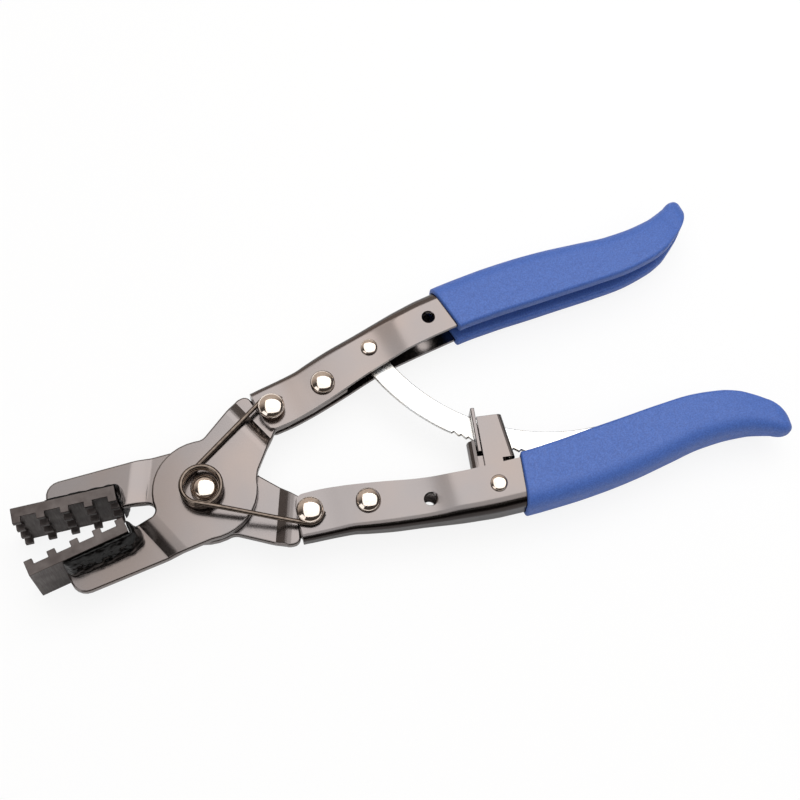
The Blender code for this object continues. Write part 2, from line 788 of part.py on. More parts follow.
def lock_lever(frame):
    half = lock_width / 2
    shell = bent_sheet(lock_right + lock_flare, lock_right, -lock_left, half, lock_sheet, -lock_heel,
                       lock_height, lock_bend_radius)
    lever_piece = add_piece("lock_lever", shell, frame, "black_steel")
    # The web and the flanges' right part end above the handle
    web_right = lock_right + lock_flare + overrun
    foot = prism(box_outline(lock_left, web_right, -lock_heel - overrun, lock_web_bottom),
                 -lock_width, lock_width)
    cut(lever_piece, add_piece("lock_lever_foot_cut", foot, frame, "black_steel"))
    window = prism(box_outline(lock_right - lock_bend_radius, web_right, lock_window_bottom,
                   lock_window_top), -bar_thickness / 2 - window_side, bar_thickness / 2 + window_side)
    cut(lever_piece, add_piece("lock_lever_window_cut", window, frame, "black_steel"))
    profile = [(pin_radius + slip, -lock_width), (pin_radius + slip, lock_width)]
    cut(lever_piece, add_piece("lock_lever_hole", turned(profile), frame, "black_steel"))


def lock_pawl(frame):
    right = -lock_left - slip
    left = right - pawl_thickness
    half = lock_width / 2
    plate = loft([[(x, pawl_bottom, -half), (x, pawl_top, -half), (x, pawl_top, half),
                   (x, pawl_bottom, half)] for x in (left, right)])
    pawl = add_piece("lock_pawl", plate, frame, "black_steel")
    window = prism(box_outline(left - overrun, right + overrun, pawl_window_bottom, pawl_window_top),
                   -bar_thickness / 2 - window_side, bar_thickness / 2 + window_side)
    cut(pawl, add_piece("lock_pawl_window_cut", window, frame, "black_steel"))


def bar_guide(frame):
    half = lock_width / 2 - lock_sheet - gap
    shell = bent_sheet(-guide_reach, -guide_reach, guide_heel, half, guide_sheet, -guide_heel,
                       guide_height, guide_bend_radius)
    guide = add_piece("bar_guide", shell, frame, "black_steel")
    pawl_left = -lock_left - slip - pawl_thickness
    top = prism(box_outline(pawl_left - gap, guide_heel + overrun, guide_shoulder,
                guide_height + overrun), -lock_width, lock_width)
    cut(guide, add_piece("bar_guide_top_cut", top, frame, "black_steel"))
    foot = prism(box_outline(-guide_reach - overrun, -lock_left - guide_sheet, -guide_heel - overrun,
                 guide_heel), -lock_width, lock_width)
    cut(guide, add_piece("bar_guide_foot_cut", foot, frame, "black_steel"))
    profile = [(pin_radius + slip, -lock_width), (pin_radius + slip, lock_width)]
    cut(guide, add_piece("bar_guide_hole", turned(profile), frame, "black_steel"))


# Small torsion spring on the lock pin, between the guide's flanges
def lock_spring(frame):
    centre = Vector((0, 0))
    room = lock_width - 2 * (lock_sheet + guide_sheet + lock_wire_radius) - 4 * gap
    turn = 2 * math.pi * (int(room / lock_coil_pitch - 0.5) + 0.5)
    heading = -90 * deg
    height = lock_coil_pitch * turn / (2 * math.pi)
    start = circle_place(centre, lock_coil_radius, heading)
    points = [Vector((start.x, start.y + lock_leg_length, -height / 2))]
    steps = round(points_per_turn * turn / (2 * math.pi))
    for i in range(steps + 1):
        spot = circle_place(centre, lock_coil_radius, heading + turn * i / steps)
        points.append(Vector((spot.x, spot.y, -height / 2 + height * i / steps)))
    end = points[-1]
    points.append(Vector((end.x, end.y + lock_leg_length, end.z)))
    print("lock_spring least gap to itself, mm:",
          round(least_gap(points, lock_wire_radius, points_per_turn // 2) / mm, 2))
    wire_object("lock_spring", points, lock_wire_radius, frame, "spring_wire")


def build():
    clear_scene()
    origin = frame_empty("pivot_frame", place=(0, 0, pivot_tail_face))
    front = frame_empty("front_lever_frame", origin, turn=(0, 0, half_opening))
    rear = frame_empty("rear_lever_frame", origin, turn=(math.pi, 0, -half_opening))
    lever(front, "front_plate", "upper", "lower", upper_grip_margin, 1)
    lever(rear, "rear_plate", "lower", "upper", lower_grip_margin, -1)
    pivot_parts(origin)
    return_spring(origin)
    bar_frame = frame_empty("ratchet_bar_frame", front, (*bar_pin_place, 0), (0, 0, bar_rest_angle))
    ratchet_bar(bar_frame)
    bar_mounting(front)
    lock_frame = frame_empty("lock_frame", rear, (*lock_pin_place, 0), (math.pi, 0, lock_lean))
    lock_lever(lock_frame)
    lock_pawl(lock_frame)
    bar_guide(lock_frame)
    lock_spring(lock_frame)
    rivet("lock_pin", rear, lock_pin_place, pin_radius, pin_head_radius, lock_seat, lock_seat, -1,
          rise=pin_head_height)


build()
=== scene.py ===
import json
import math
import bpy
import bmesh
from mathutils import Euler, Matrix, Vector, noise


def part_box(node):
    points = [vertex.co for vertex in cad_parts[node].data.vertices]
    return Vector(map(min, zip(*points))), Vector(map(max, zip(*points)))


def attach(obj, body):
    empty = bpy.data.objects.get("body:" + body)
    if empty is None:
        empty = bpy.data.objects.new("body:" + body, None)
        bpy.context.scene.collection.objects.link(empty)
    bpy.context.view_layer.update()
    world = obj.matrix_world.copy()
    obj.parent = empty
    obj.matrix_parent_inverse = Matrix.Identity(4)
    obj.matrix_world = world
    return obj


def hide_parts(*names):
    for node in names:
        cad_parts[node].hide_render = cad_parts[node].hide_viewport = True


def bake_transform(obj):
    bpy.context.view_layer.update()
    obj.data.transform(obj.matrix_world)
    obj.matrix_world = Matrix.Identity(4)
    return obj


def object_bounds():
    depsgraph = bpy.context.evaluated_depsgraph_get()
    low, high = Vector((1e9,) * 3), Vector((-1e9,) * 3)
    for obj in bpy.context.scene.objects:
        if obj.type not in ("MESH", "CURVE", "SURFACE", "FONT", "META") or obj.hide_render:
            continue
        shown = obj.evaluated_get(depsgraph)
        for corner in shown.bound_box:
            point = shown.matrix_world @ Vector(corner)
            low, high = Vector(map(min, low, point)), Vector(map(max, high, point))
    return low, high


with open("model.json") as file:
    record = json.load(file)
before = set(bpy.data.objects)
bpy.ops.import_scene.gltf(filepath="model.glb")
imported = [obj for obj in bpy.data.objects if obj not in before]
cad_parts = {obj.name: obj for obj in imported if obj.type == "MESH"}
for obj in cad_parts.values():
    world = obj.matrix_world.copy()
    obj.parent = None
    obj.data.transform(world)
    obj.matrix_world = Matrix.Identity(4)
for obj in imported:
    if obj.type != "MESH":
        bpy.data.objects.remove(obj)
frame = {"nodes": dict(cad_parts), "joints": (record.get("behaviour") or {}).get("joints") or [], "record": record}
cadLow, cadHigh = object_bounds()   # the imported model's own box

# Hose clamp pliers, dressed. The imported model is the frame: +X runs from the pivot along the handles,
# +Y is towards the upper handle and +Z towards the front.

mm = 0.001
deg = math.pi / 180
nodes = frame["nodes"]

# The pliers stand half open: each lever is turned this far from the closed place
halfOpening = 6.15 * deg
joints = {joint["name"]: joint for joint in frame["joints"]}
pivot = Vector(joints["handle_pivot"]["pos_m"])

# A lever's own frame has its handle at +Y and its jaw at -Y. The rear lever is turned over about X
frontLever = Matrix.Translation(pivot) @ Matrix.Rotation(halfOpening, 4, "Z")
rearLever = (Matrix.Translation(pivot) @ Matrix.Rotation(-halfOpening, 4, "Z")
             @ Matrix.Rotation(math.pi, 4, "X"))
levers = {
    "front": {"matrix": frontLever, "body": "front_lever", "handle": "upper", "jaw": "lower", "side": 1},
    "rear": {"matrix": rearLever, "body": "rear_lever", "handle": "lower", "jaw": "upper", "side": -1},
}


# Small helpers

def srgb(code):
    channels = [int(code[i:i + 2], 16) / 255 for i in (1, 3, 5)]
    linear = [c / 12.92 if c <= 0.04045 else ((c + 0.055) / 1.055) ** 2.4 for c in channels]
    return (*linear, 1)


def perSize(size):   # texture scale that repeats once in this length
    return 1 / size


def addNode(material, kind, settings=None, links=None):
    node = material.node_tree.nodes.new(kind)
    for key, value in (settings or {}).items():
        if isinstance(key, int) or key in node.inputs:
            node.inputs[key].default_value = value
        else:
            setattr(node, key, value)
    for key, source in (links or {}).items():
        material.node_tree.links.new(source, node.inputs[key])
    return node


def newMaterial(name):
    material = bpy.data.materials.new(name)
    material.use_nodes = True
    shader = material.node_tree.nodes["Principled BSDF"]
    place = addNode(material, "ShaderNodeTexCoord").outputs["Object"]
    return material, shader, place


def blendStops(ramp, stops):
    ramp.color_ramp.elements[0].position, ramp.color_ramp.elements[0].color = stops[0]
    ramp.color_ramp.elements[1].position, ramp.color_ramp.elements[1].color = stops[-1]
    for position, color in stops[1:-1]:
        ramp.color_ramp.elements.new(position).color = color


# Finishes

# Black nickel plate over cold-rolled steel: a dark warm mirror, slightly clouded, that turns pale grey
# wherever it faces the light. A darker copy of it, made below, is painted shade on the bent sides
def makeBlackNickel(name, warm, cool):
    look = {"cloudSize": 26 * mm, "grainSize": 0.5 * mm, "waveSize": 14 * mm,
            "warm": warm, "cool": cool, "roughLow": 0.15, "roughHigh": 0.22}
    material, shader, place = newMaterial(name)
    cloud = addNode(material, "ShaderNodeTexNoise",
                    {"Scale": perSize(look["cloudSize"]), "Detail": 3.0}, {"Vector": place})
    tint = addNode(material, "ShaderNodeValToRGB", None, {"Fac": cloud.outputs["Fac"]})
    blendStops(tint, [(0.35, srgb(look["warm"])), (0.65, srgb(look["cool"]))])
    grain = addNode(material, "ShaderNodeTexNoise",
                    {"Scale": perSize(look["grainSize"]), "Detail": 2.0}, {"Vector": place})
    rough = addNode(material, "ShaderNodeMapRange",
                    {"From Min": 0.3, "From Max": 0.7,
                     "To Min": look["roughLow"], "To Max": look["roughHigh"]},
                    {"Value": cloud.outputs["Fac"]})
    wave = addNode(material, "ShaderNodeTexNoise",
                   {"Scale": perSize(look["waveSize"]), "Detail": 1.0}, {"Vector": place})
    waveBump = addNode(material, "ShaderNodeBump",
                       {"Strength": 0.1, "Distance": 0.05 * mm}, {"Height": wave.outputs["Fac"]})
    bump = addNode(material, "ShaderNodeBump", {"Strength": 0.12, "Distance": 0.01 * mm},
                   {"Height": grain.outputs["Fac"], "Normal": waveBump.outputs["Normal"]})
    shader.inputs["Metallic"].default_value = 1.0
    links = material.node_tree.links
    links.new(tint.outputs["Color"], shader.inputs["Base Color"])
    links.new(rough.outputs["Result"], shader.inputs["Roughness"])
    links.new(bump.outputs["Normal"], shader.inputs["Normal"])
    return material


# Black oxide on milled tool steel: matt, with fine cutter lines from the block's front to its rear
def makeBlackOxide():
    look = {"lineSize": 0.35 * mm, "stretch": 0.06, "patchSize": 5 * mm,
            "dark": "#46403e", "light": "#5e5856", "roughLow": 0.36, "roughHigh": 0.5}
    material, shader, place = newMaterial("blackOxideSteel")
    patch = addNode(material, "ShaderNodeTexNoise",
                    {"Scale": perSize(look["patchSize"]), "Detail": 4.0}, {"Vector": place})
    tint = addNode(material, "ShaderNodeValToRGB", None, {"Fac": patch.outputs["Fac"]})
    blendStops(tint, [(0.3, srgb(look["dark"])), (0.7, srgb(look["light"]))])
    stretched = addNode(material, "ShaderNodeMapping", {"Scale": (1.0, 1.0, look["stretch"])},
                        {"Vector": place})
    lines = addNode(material, "ShaderNodeTexNoise",
                    {"Scale": perSize(look["lineSize"]), "Detail": 2.0},
                    {"Vector": stretched.outputs["Vector"]})
    rough = addNode(material, "ShaderNodeMapRange",
                    {"From Min": 0.3, "From Max": 0.7,
                     "To Min": look["roughLow"], "To Max": look["roughHigh"]},
                    {"Value": lines.outputs["Fac"]})
    bump = addNode(material, "ShaderNodeBump", {"Strength": 0.35, "Distance": 0.02 * mm},
                   {"Height": lines.outputs["Fac"]})
    shader.inputs["Metallic"].default_value = 1.0
    links = material.node_tree.links
    links.new(tint.outputs["Color"], shader.inputs["Base Color"])
    links.new(rough.outputs["Result"], shader.inputs["Roughness"])
    links.new(bump.outputs["Normal"], shader.inputs["Normal"])
    return material


# Weld metal plated over: glossy black skin with small sparkling ripples
def makeWeldBlack():
    look = {"rippleSize": 0.7 * mm, "dark": "#030303", "light": "#0b0a0a"}
    material, shader, place = newMaterial("platedWeldBead")
    ripple = addNode(material, "ShaderNodeTexNoise",
                     {"Scale": perSize(look["rippleSize"]), "Detail": 3.0}, {"Vector": place})
    tint = addNode(material, "ShaderNodeValToRGB", None, {"Fac": ripple.outputs["Fac"]})
    blendStops(tint, [(0.35, srgb(look["dark"])), (0.75, srgb(look["light"]))])
    bump = addNode(material, "ShaderNodeBump", {"Strength": 0.8, "Distance": 0.12 * mm},
                   {"Height": ripple.outputs["Fac"]})
    shader.inputs["Specular IOR Level"].default_value = 0.2
    shader.inputs["Roughness"].default_value = 0.13
    links = material.node_tree.links
    links.new(tint.outputs["Color"], shader.inputs["Base Color"])
    links.new(bump.outputs["Normal"], shader.inputs["Normal"])
    return material


# Bright nickel on the rivet heads: a warm mirror with faint marks from the heading tool
def makeBrightNickel():
    look = {"markSize": 0.8 * mm, "warm": "#e6d4c6", "pale": "#f2e8de",
            "roughLow": 0.08, "roughHigh": 0.15}
    material, shader, place = newMaterial("brightNickel")
    mark = addNode(material, "ShaderNodeTexNoise",
                   {"Scale": perSize(look["markSize"]), "Detail": 3.0}, {"Vector": place})
    tint = addNode(material, "ShaderNodeValToRGB", None, {"Fac": mark.outputs["Fac"]})
    blendStops(tint, [(0.3, srgb(look["warm"])), (0.7, srgb(look["pale"]))])
    rough = addNode(material, "ShaderNodeMapRange",
                    {"From Min": 0.3, "From Max": 0.7,
                     "To Min": look["roughLow"], "To Max": look["roughHigh"]},
                    {"Value": mark.outputs["Fac"]})
    bump = addNode(material, "ShaderNodeBump", {"Strength": 0.15, "Distance": 0.02 * mm},
                   {"Height": mark.outputs["Fac"]})
    shader.inputs["Metallic"].default_value = 1.0
    links = material.node_tree.links
    links.new(tint.outputs["Color"], shader.inputs["Base Color"])
    links.new(rough.outputs["Result"], shader.inputs["Roughness"])
    links.new(bump.outputs["Normal"], shader.inputs["Normal"])
    return material


# Oil-blacked spring wire: dark and smooth, with a thin pale line of light along it
def makeSpringBlack():
    look = {"scaleSize": 1.5 * mm, "dark": "#5a5049", "light": "#6f645b"}
    material, shader, place = newMaterial("oilBlackSpringWire")
    scale = addNode(material, "ShaderNodeTexNoise",
                    {"Scale": perSize(look["scaleSize"]), "Detail": 3.0}, {"Vector": place})
    tint = addNode(material, "ShaderNodeValToRGB", None, {"Fac": scale.outputs["Fac"]})
    blendStops(tint, [(0.35, srgb(look["dark"])), (0.65, srgb(look["light"]))])
    bump = addNode(material, "ShaderNodeBump", {"Strength": 0.1, "Distance": 0.02 * mm},
                   {"Height": scale.outputs["Fac"]})
    shader.inputs["Metallic"].default_value = 1.0
    shader.inputs["Roughness"].default_value = 0.1
    links = material.node_tree.links
    links.new(tint.outputs["Color"], shader.inputs["Base Color"])
    links.new(bump.outputs["Normal"], shader.inputs["Normal"])
    return material


# Bright zinc on the blanked bar: nearly white, with a fine mottle in its sheen
def makeBrightZinc():
    look = {"mottleSize": 0.6 * mm, "cloudSize": 7 * mm, "blue": "#d5d9dc", "warm": "#dcd5cb",
            "roughLow": 0.22, "roughHigh": 0.36}
    material, shader, place = newMaterial("brightZincPlate")
    cloud = addNode(material, "ShaderNodeTexNoise",
                    {"Scale": perSize(look["cloudSize"]), "Detail": 2.0}, {"Vector": place})
    tint = addNode(material, "ShaderNodeValToRGB", None, {"Fac": cloud.outputs["Fac"]})
    blendStops(tint, [(0.35, srgb(look["blue"])), (0.65, srgb(look["warm"]))])
    mottle = addNode(material, "ShaderNodeTexNoise",
                     {"Scale": perSize(look["mottleSize"]), "Detail": 2.0}, {"Vector": place})
    rough = addNode(material, "ShaderNodeMapRange",
                    {"From Min": 0.3, "From Max": 0.7,
                     "To Min": look["roughLow"], "To Max": look["roughHigh"]},
                    {"Value": mottle.outputs["Fac"]})
    shader.inputs["Metallic"].default_value = 1.0
    links = material.node_tree.links
    links.new(tint.outputs["Color"], shader.inputs["Base Color"])
    links.new(rough.outputs["Result"], shader.inputs["Roughness"])
    return material


# Dipped vinyl: royal blue, soft sheen, with a fine pebbled grain like orange peel
def makeDippedVinyl():
    look = {"grainSize": 0.5 * mm, "peelSize": 1.1 * mm, "deep": "#35569f", "pale": "#456ab8",
            "roughLow": 0.5, "roughHigh": 0.64}
    material, shader, place = newMaterial("dippedBlueVinyl")
    shader.inputs["Specular IOR Level"].default_value = 0.55
    grain = addNode(material, "ShaderNodeTexNoise",
                    {"Scale": perSize(look["grainSize"]), "Detail": 3.0, "Roughness": 0.6},
                    {"Vector": place})
    peel = addNode(material, "ShaderNodeTexNoise",
                   {"Scale": perSize(look["peelSize"]), "Detail": 2.0}, {"Vector": place})
    tint = addNode(material, "ShaderNodeValToRGB", None, {"Fac": grain.outputs["Fac"]})
    blendStops(tint, [(0.35, srgb(look["deep"])), (0.65, srgb(look["pale"]))])
    rough = addNode(material, "ShaderNodeMapRange",
                    {"From Min": 0.3, "From Max": 0.7,
                     "To Min": look["roughLow"], "To Max": look["roughHigh"]},
                    {"Value": peel.outputs["Fac"]})
    peelBump = addNode(material, "ShaderNodeBump", {"Strength": 0.15, "Distance": 0.05 * mm},
                       {"Height": peel.outputs["Fac"]})
    bump = addNode(material, "ShaderNodeBump", {"Strength": 0.6, "Distance": 0.06 * mm},
                   {"Height": grain.outputs["Fac"], "Normal": peelBump.outputs["Normal"]})
    links = material.node_tree.links
    links.new(tint.outputs["Color"], shader.inputs["Base Color"])
    links.new(rough.outputs["Result"], shader.inputs["Roughness"])
    links.new(bump.outputs["Normal"], shader.inputs["Normal"])
    return material


finishes = {
    "lever_steel": makeBlackNickel("blackNickelPlate", "#766d69", "#726d6c"),
    "jaw_steel": makeBlackOxide(),
    "weld_steel": makeWeldBlack(),
    "nickel_steel": makeBrightNickel(),
    "spring_steel": makeSpringBlack(),
    "zinc_steel": makeBrightZinc(),
    "grip_vinyl": makeDippedVinyl(),
}
# A darker copy of the black nickel: painted shade for the sides that face away from the light
nickelPaintedShade = makeBlackNickel("blackNickelPaintedShade", "#403a38", "#3a3635")
slotOf = {part["node"]: part["material_slot"] for part in frame["record"]["subparts"]}
bodies = frame["record"]["behaviour"]["bodies"]
bodyOf = {node: body for body, members in bodies.items() for node in members}
for name, item in nodes.items():   # whatever stays from the frame gets its finish too
    item.data.materials.clear()
    item.data.materials.append(finishes[slotOf[name]])
print("finishes made:", len(finishes))


# From bmesh to a finished piece that stands for a node

def addPiece(name, bm, node, matrix=Matrix.Identity(4), smoothAngle=35):
    mesh = bpy.data.meshes.new(name)
    bm.to_mesh(mesh)
    bm.free()
    mesh.transform(matrix)
    mesh.shade_smooth()
    mesh.set_sharp_from_angle(angle=smoothAngle * deg)
    mesh.materials.append(finishes[slotOf[node]])
    piece = bpy.data.objects.new(name, mesh)
    bpy.context.scene.collection.objects.link(piece)
    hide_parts(node)
    return piece


# Large flats stay flat in the light, and the broken edges take the turn
def flatShade(piece):
    weighted = piece.modifiers.new("flatShade", "WEIGHTED_NORMAL")
    weighted.keep_sharp = True
    return piece


# Faces that look this way more than the given share take the darker copy of the black nickel, which is painted
# shade
def paintShadeOnSide(piece, way, least):
    piece.data.materials.append(nickelPaintedShade)
    for face in piece.data.polygons:
        if face.normal.dot(way) > least:
            face.material_index = 1
    return piece


def applyModifiers(piece):
    bpy.context.view_layer.update()
    evaluated = piece.evaluated_get(bpy.context.evaluated_depsgraph_get())
    mesh = bpy.data.meshes.new_from_object(evaluated)
    piece.modifiers.clear()
    piece.data = mesh
    return piece


def softStep(t):
    t = min(max(t, 0), 1)
    return t * t * (3 - 2 * t)


# The node's own shape with its loose triangles merged and its flats made whole
def mergedCopy(node, flat=0.4):
    bm = bmesh.new()
    bm.from_mesh(nodes[node].data)
    bmesh.ops.remove_doubles(bm, verts=bm.verts[:], dist=0.002 * mm)
    bmesh.ops.dissolve_limit(bm, angle_limit=flat * deg, use_dissolve_boundaries=False,
                             verts=bm.verts[:], edges=bm.edges[:])
    return bm


def breakRims(bm, width, segments, sharp=30, clamp=True):
    bm.normal_update()
    rims = [edge for edge in bm.edges
            if len(edge.link_faces) == 2 and edge.calc_face_angle(0) > sharp * deg]
    bmesh.ops.bevel(bm, geom=rims, offset=width, offset_type="OFFSET", segments=segments, profile=0.5,
                    affect="EDGES", clamp_overlap=clamp, material=-1, loop_slide=True)


# The same with its sharp edges broken, as tumbling and plating leave them
def brokenEdges(node, width, segments=2, clamp=True):
    bm = mergedCopy(node)
    breakRims(bm, width, segments, clamp=clamp)
    return bm


def ridePiece(piece, node):
    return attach(piece, bodyOf[node])


# Body turned about its own Z from a profile of radius and height pairs, which starts and ends on the
# axis or closes on itself
def turnedShape(profile, steps=64):
    bm = bmesh.new()
    ends = [bm.verts.new((radius, 0, height)) for radius, height in profile]
    lines = [bm.edges.new(pair) for pair in zip(ends, ends[1:])]
    bmesh.ops.spin(bm, geom=ends + lines, axis=(0, 0, 1), cent=(0, 0, 0), steps=steps, angle=2 * math.pi,
                   use_merge=True)
    bmesh.ops.remove_doubles(bm, verts=bm.verts[:], dist=0.001 * mm)
    bmesh.ops.recalc_face_normals(bm, faces=bm.faces[:])
    return bm


def domeProfile(radius, base, height, steps=14):
    angles = [90 * deg * i / steps for i in range(steps + 1)]
    return [(radius * math.cos(a), base + height * math.sin(a)) for a in angles]


# Camera: the photograph's place and viewing angle, solved from the pivot, rivets and grip tips

cameraLook = {
    "place": (-12.85 * mm, -160.81 * mm, 456.10 * mm),
    "turn": (-20.657 * deg, 9.878 * deg, 18.542 * deg),   # turns the world to the camera's axes
    "lens": 65.61,
    "sensor": 36,
}


def makeCamera():
    data = bpy.data.cameras.new("photoCamera")
    data.lens = cameraLook["lens"]
    data.sensor_width = cameraLook["sensor"]
    data.sensor_fit = "HORIZONTAL"
    camera = bpy.data.objects.new("photoCamera", data)
    bpy.context.scene.collection.objects.link(camera)
    toCamera = Euler(cameraLook["turn"]).to_matrix()
    camera.matrix_world = Matrix.Translation(cameraLook["place"]) @ toCamera.transposed().to_4x4()
    bpy.context.scene.camera = camera


# Studio: a pale floor in a dim room that is paler behind the pliers, and white where the camera looks
# past the floor. A wide softbox and a smaller one hang over the pliers, squared up to the camera, and an
# upright one stands at the lower left. The floor glows to the camera, and a little to what mirrors it

studio = {
    "floorSize": 60.0, "floorGap": 0.4 * mm, "floorColor": "#f4f4f4",
    "seenLift": 0.86, "mirroredLift": 0.1,
    "roomFront": 0.05, "roomBack": 0.5, "roomFrom": 0.25, "roomTo": 0.75, "roomColor": "#fff1e6",
    "horizon": 0.5, "horizonFrom": 3 * deg, "horizonTo": 8 * deg, "backdropColor": "#ffffff",
}
lamps = {
    "overheadSoftbox": {"place": (0.45, 0.01, 1.0), "away": (0, 0, 1),
                        "size": (2.0, 1.6), "radiance": 1.5},
    "keySoftbox": {"place": (0.51, 0.34, 0.94), "away": (0, 0, 1),
                   "size": (0.94, 0.78), "radiance": 1.5},
    "sideSoftbox": {"place": (-0.85, -0.33, 0.5), "away": (-0.943, -0.334, 0),
                    "size": (0.6, 0.95), "radiance": 1.25},
}


def softbox(name, lamp):
    data = bpy.data.lights.new(name, "AREA")
    data.shape = "RECTANGLE"
    data.size, data.size_y = lamp["size"]
    data.energy = lamp["radiance"] * math.pi * data.size * data.size_y
    box = bpy.data.objects.new(name, data)
    bpy.context.scene.collection.objects.link(box)
    box.location = lamp["place"]
    facing = Vector(lamp["away"]).to_track_quat("Z", "Y").to_matrix()
    if lamp["away"][2] > 0:   # it hangs
        facing = Matrix.Rotation(-cameraLook["turn"][2], 3, "Z") @ facing
    box.rotation_euler = facing.to_euler()


def makeFloor():
    bm = bmesh.new()
    bmesh.ops.create_grid(bm, x_segments=1, y_segments=1, size=studio["floorSize"] / 2)
    bmesh.ops.translate(bm, verts=bm.verts[:], vec=(0, 0, cadLow.z - studio["floorGap"]))
    mesh = bpy.data.meshes.new("studioFloor")
    bm.to_mesh(mesh)
    bm.free()
    floor = bpy.data.objects.new("studioFloor", mesh)
    bpy.context.scene.collection.objects.link(floor)
    material = bpy.data.materials.new("paleFloor")
    material.use_nodes = True
    shader = material.node_tree.nodes["Principled BSDF"]
    shader.inputs["Base Color"].default_value = srgb(studio["floorColor"])
    shader.inputs["Roughness"].default_value = 0.9
    shader.inputs["Specular IOR Level"].default_value = 0.0
    ray = addNode(material, "ShaderNodeLightPath")
    mirrored = addNode(material, "ShaderNodeMath", {"operation": "MAXIMUM"},
                       {0: ray.outputs["Is Glossy Ray"], 1: ray.outputs["Is Transmission Ray"]})
    mirroredLift = addNode(material, "ShaderNodeMath",
                           {"operation": "MULTIPLY", 1: studio["mirroredLift"]},
                           {0: mirrored.outputs["Value"]})
    seenLift = addNode(material, "ShaderNodeMath", {"operation": "MULTIPLY", 1: studio["seenLift"]},
                       {0: ray.outputs["Is Camera Ray"]})
    lift = addNode(material, "ShaderNodeMath", {"operation": "ADD"},
                   {0: seenLift.outputs["Value"], 1: mirroredLift.outputs["Value"]})
    glow = addNode(material, "ShaderNodeEmission", {"Strength": 1.0})
    paper = addNode(material, "ShaderNodeMixShader", None,
                    {0: lift.outputs["Value"], 1: shader.outputs["BSDF"], 2: glow.outputs["Emission"]})
    material.node_tree.links.new(paper.outputs["Shader"],
                                 material.node_tree.nodes["Material Output"].inputs["Surface"])
    mesh.materials.append(material)


def makeRoom():
    world = bpy.data.worlds.new("studioRoom")
    bpy.context.scene.world = world
    world.use_nodes = True
    way = addNode(world, "ShaderNodeTexCoord").outputs["Generated"]
    split = addNode(world, "ShaderNodeSeparateXYZ", None, {"Vector": way})
    room = addNode(world, "ShaderNodeMapRange",
                   {"From Min": studio["roomFrom"], "From Max": studio["roomTo"],
                    "To Min": studio["roomFront"], "To Max": studio["roomBack"]},
                   {"Value": split.outputs["Y"]})
    horizon = addNode(world, "ShaderNodeMapRange",
                      {"From Min": math.sin(studio["horizonFrom"]),
                       "From Max": math.sin(studio["horizonTo"]),
                       "To Min": studio["horizon"], "To Max": 0.0, "interpolation_type": "SMOOTHSTEP"},
                      {"Value": split.outputs["Z"]})
    level = addNode(world, "ShaderNodeMath", {"operation": "MAXIMUM"},
                    {0: room.outputs["Result"], 1: horizon.outputs["Result"]})
    background = world.node_tree.nodes["Background"]
    background.inputs["Color"].default_value = srgb(studio["roomColor"])
    world.node_tree.links.new(level.outputs["Value"], background.inputs["Strength"])
    backdrop = addNode(world, "ShaderNodeBackground",
                       {"Color": srgb(studio["backdropColor"]), "Strength": 1.0})
    seen = addNode(world, "ShaderNodeLightPath").outputs["Is Camera Ray"]
    around = addNode(world, "ShaderNodeMixShader", None,
                     {0: seen, 1: background.outputs["Background"], 2: backdrop.outputs["Background"]})
    world.node_tree.links.new(around.outputs["Shader"],
                              world.node_tree.nodes["World Output"].inputs["Surface"])


makeCamera()
makeFloor()
for name, lamp in lamps.items():
    softbox(name, lamp)
makeRoom()
print("camera and studio made")


# Lever plates, jaw blocks and welds

# Each pressed step has its way along the lever, its start, its length and how much further its soft side
# reaches. The steps lean in the plate's plane
plate = {"edge": 0.7 * mm, "edgeSegments": 4, "sharp": 40, "thickness": 3.0 * mm,
         "level": 1.65 * mm, "lean": 17 * deg, "soft": 0.75, "slices": 12, "margin": 0.1 * mm,
         "steps": ((-1, 18.7 * mm, 4.5 * mm, 2.0 * mm), (1, 23.9 * mm, 3.7 * mm, 1.8 * mm))}
block = {"edge": 0.2 * mm}
weld = {"back": -5.5 * mm, "end": -27.2 * mm, "slim": 0.5, "voxel": 0.3 * mm, "settle": 6,
        "lumpSize": 2.4 * mm, "lump": 0.3 * mm, "rippleSize": 1.0 * mm, "ripple": 0.12 * mm}


# Share of a pressed step's drop, with the slope easing in over its soft part
def easedDrop(share, soft):
    share = min(max(share, 0), 1)
    steepest = 1 / (1 - soft / 2)
    return steepest * (share * share / (2 * soft) if share < soft else share - soft / 2)


# Share of the node's own step, which runs straight between quarters
def quarterDrop(share):
    share = min(max(share, 0), 1)
    start = min(math.floor(share * 4), 3) / 4
    return softStep(start) + (softStep(start + 0.25) - softStep(start)) * (share - start) * 4


# The sheet's outside is soft where it bends away and crisp where it bends back
def pressSteps(bm, toLever):
    bm.transform(toLever)
    ahead = Vector((math.cos(plate["lean"]), math.sin(plate["lean"]), 0))
    for way, start, length, further in plate["steps"]:
        first, last = start - further, start + length + further
        for i in range(plate["slices"] + 1):
            reach = first + (last - first) * i / plate["slices"]
            bmesh.ops.bisect_plane(bm, geom=bm.verts[:] + bm.edges[:] + bm.faces[:],
                                   plane_co=ahead * way * reach, plane_no=ahead)
        for vert in bm.verts:
            reach = vert.co.dot(ahead) * way
            if not first - plate["margin"] < reach < last + plate["margin"]:
                continue
            was = quarterDrop((reach - start) / length)
            # 1 on the front face, -1 on the one behind
            rise = (vert.co.z - plate["level"] * (1 - was)) / (plate["thickness"] / 2)
            soft = easedDrop((reach - first) / (length + further), plate["soft"])
            crisp = 1 - easedDrop((last - reach) / (length + further), plate["soft"])
            drop = crisp + (soft - crisp) * (min(max(rise, -1), 1) + 1) / 2
            vert.co.z += plate["level"] * (was - drop)
    bm.transform(toLever.inverted())


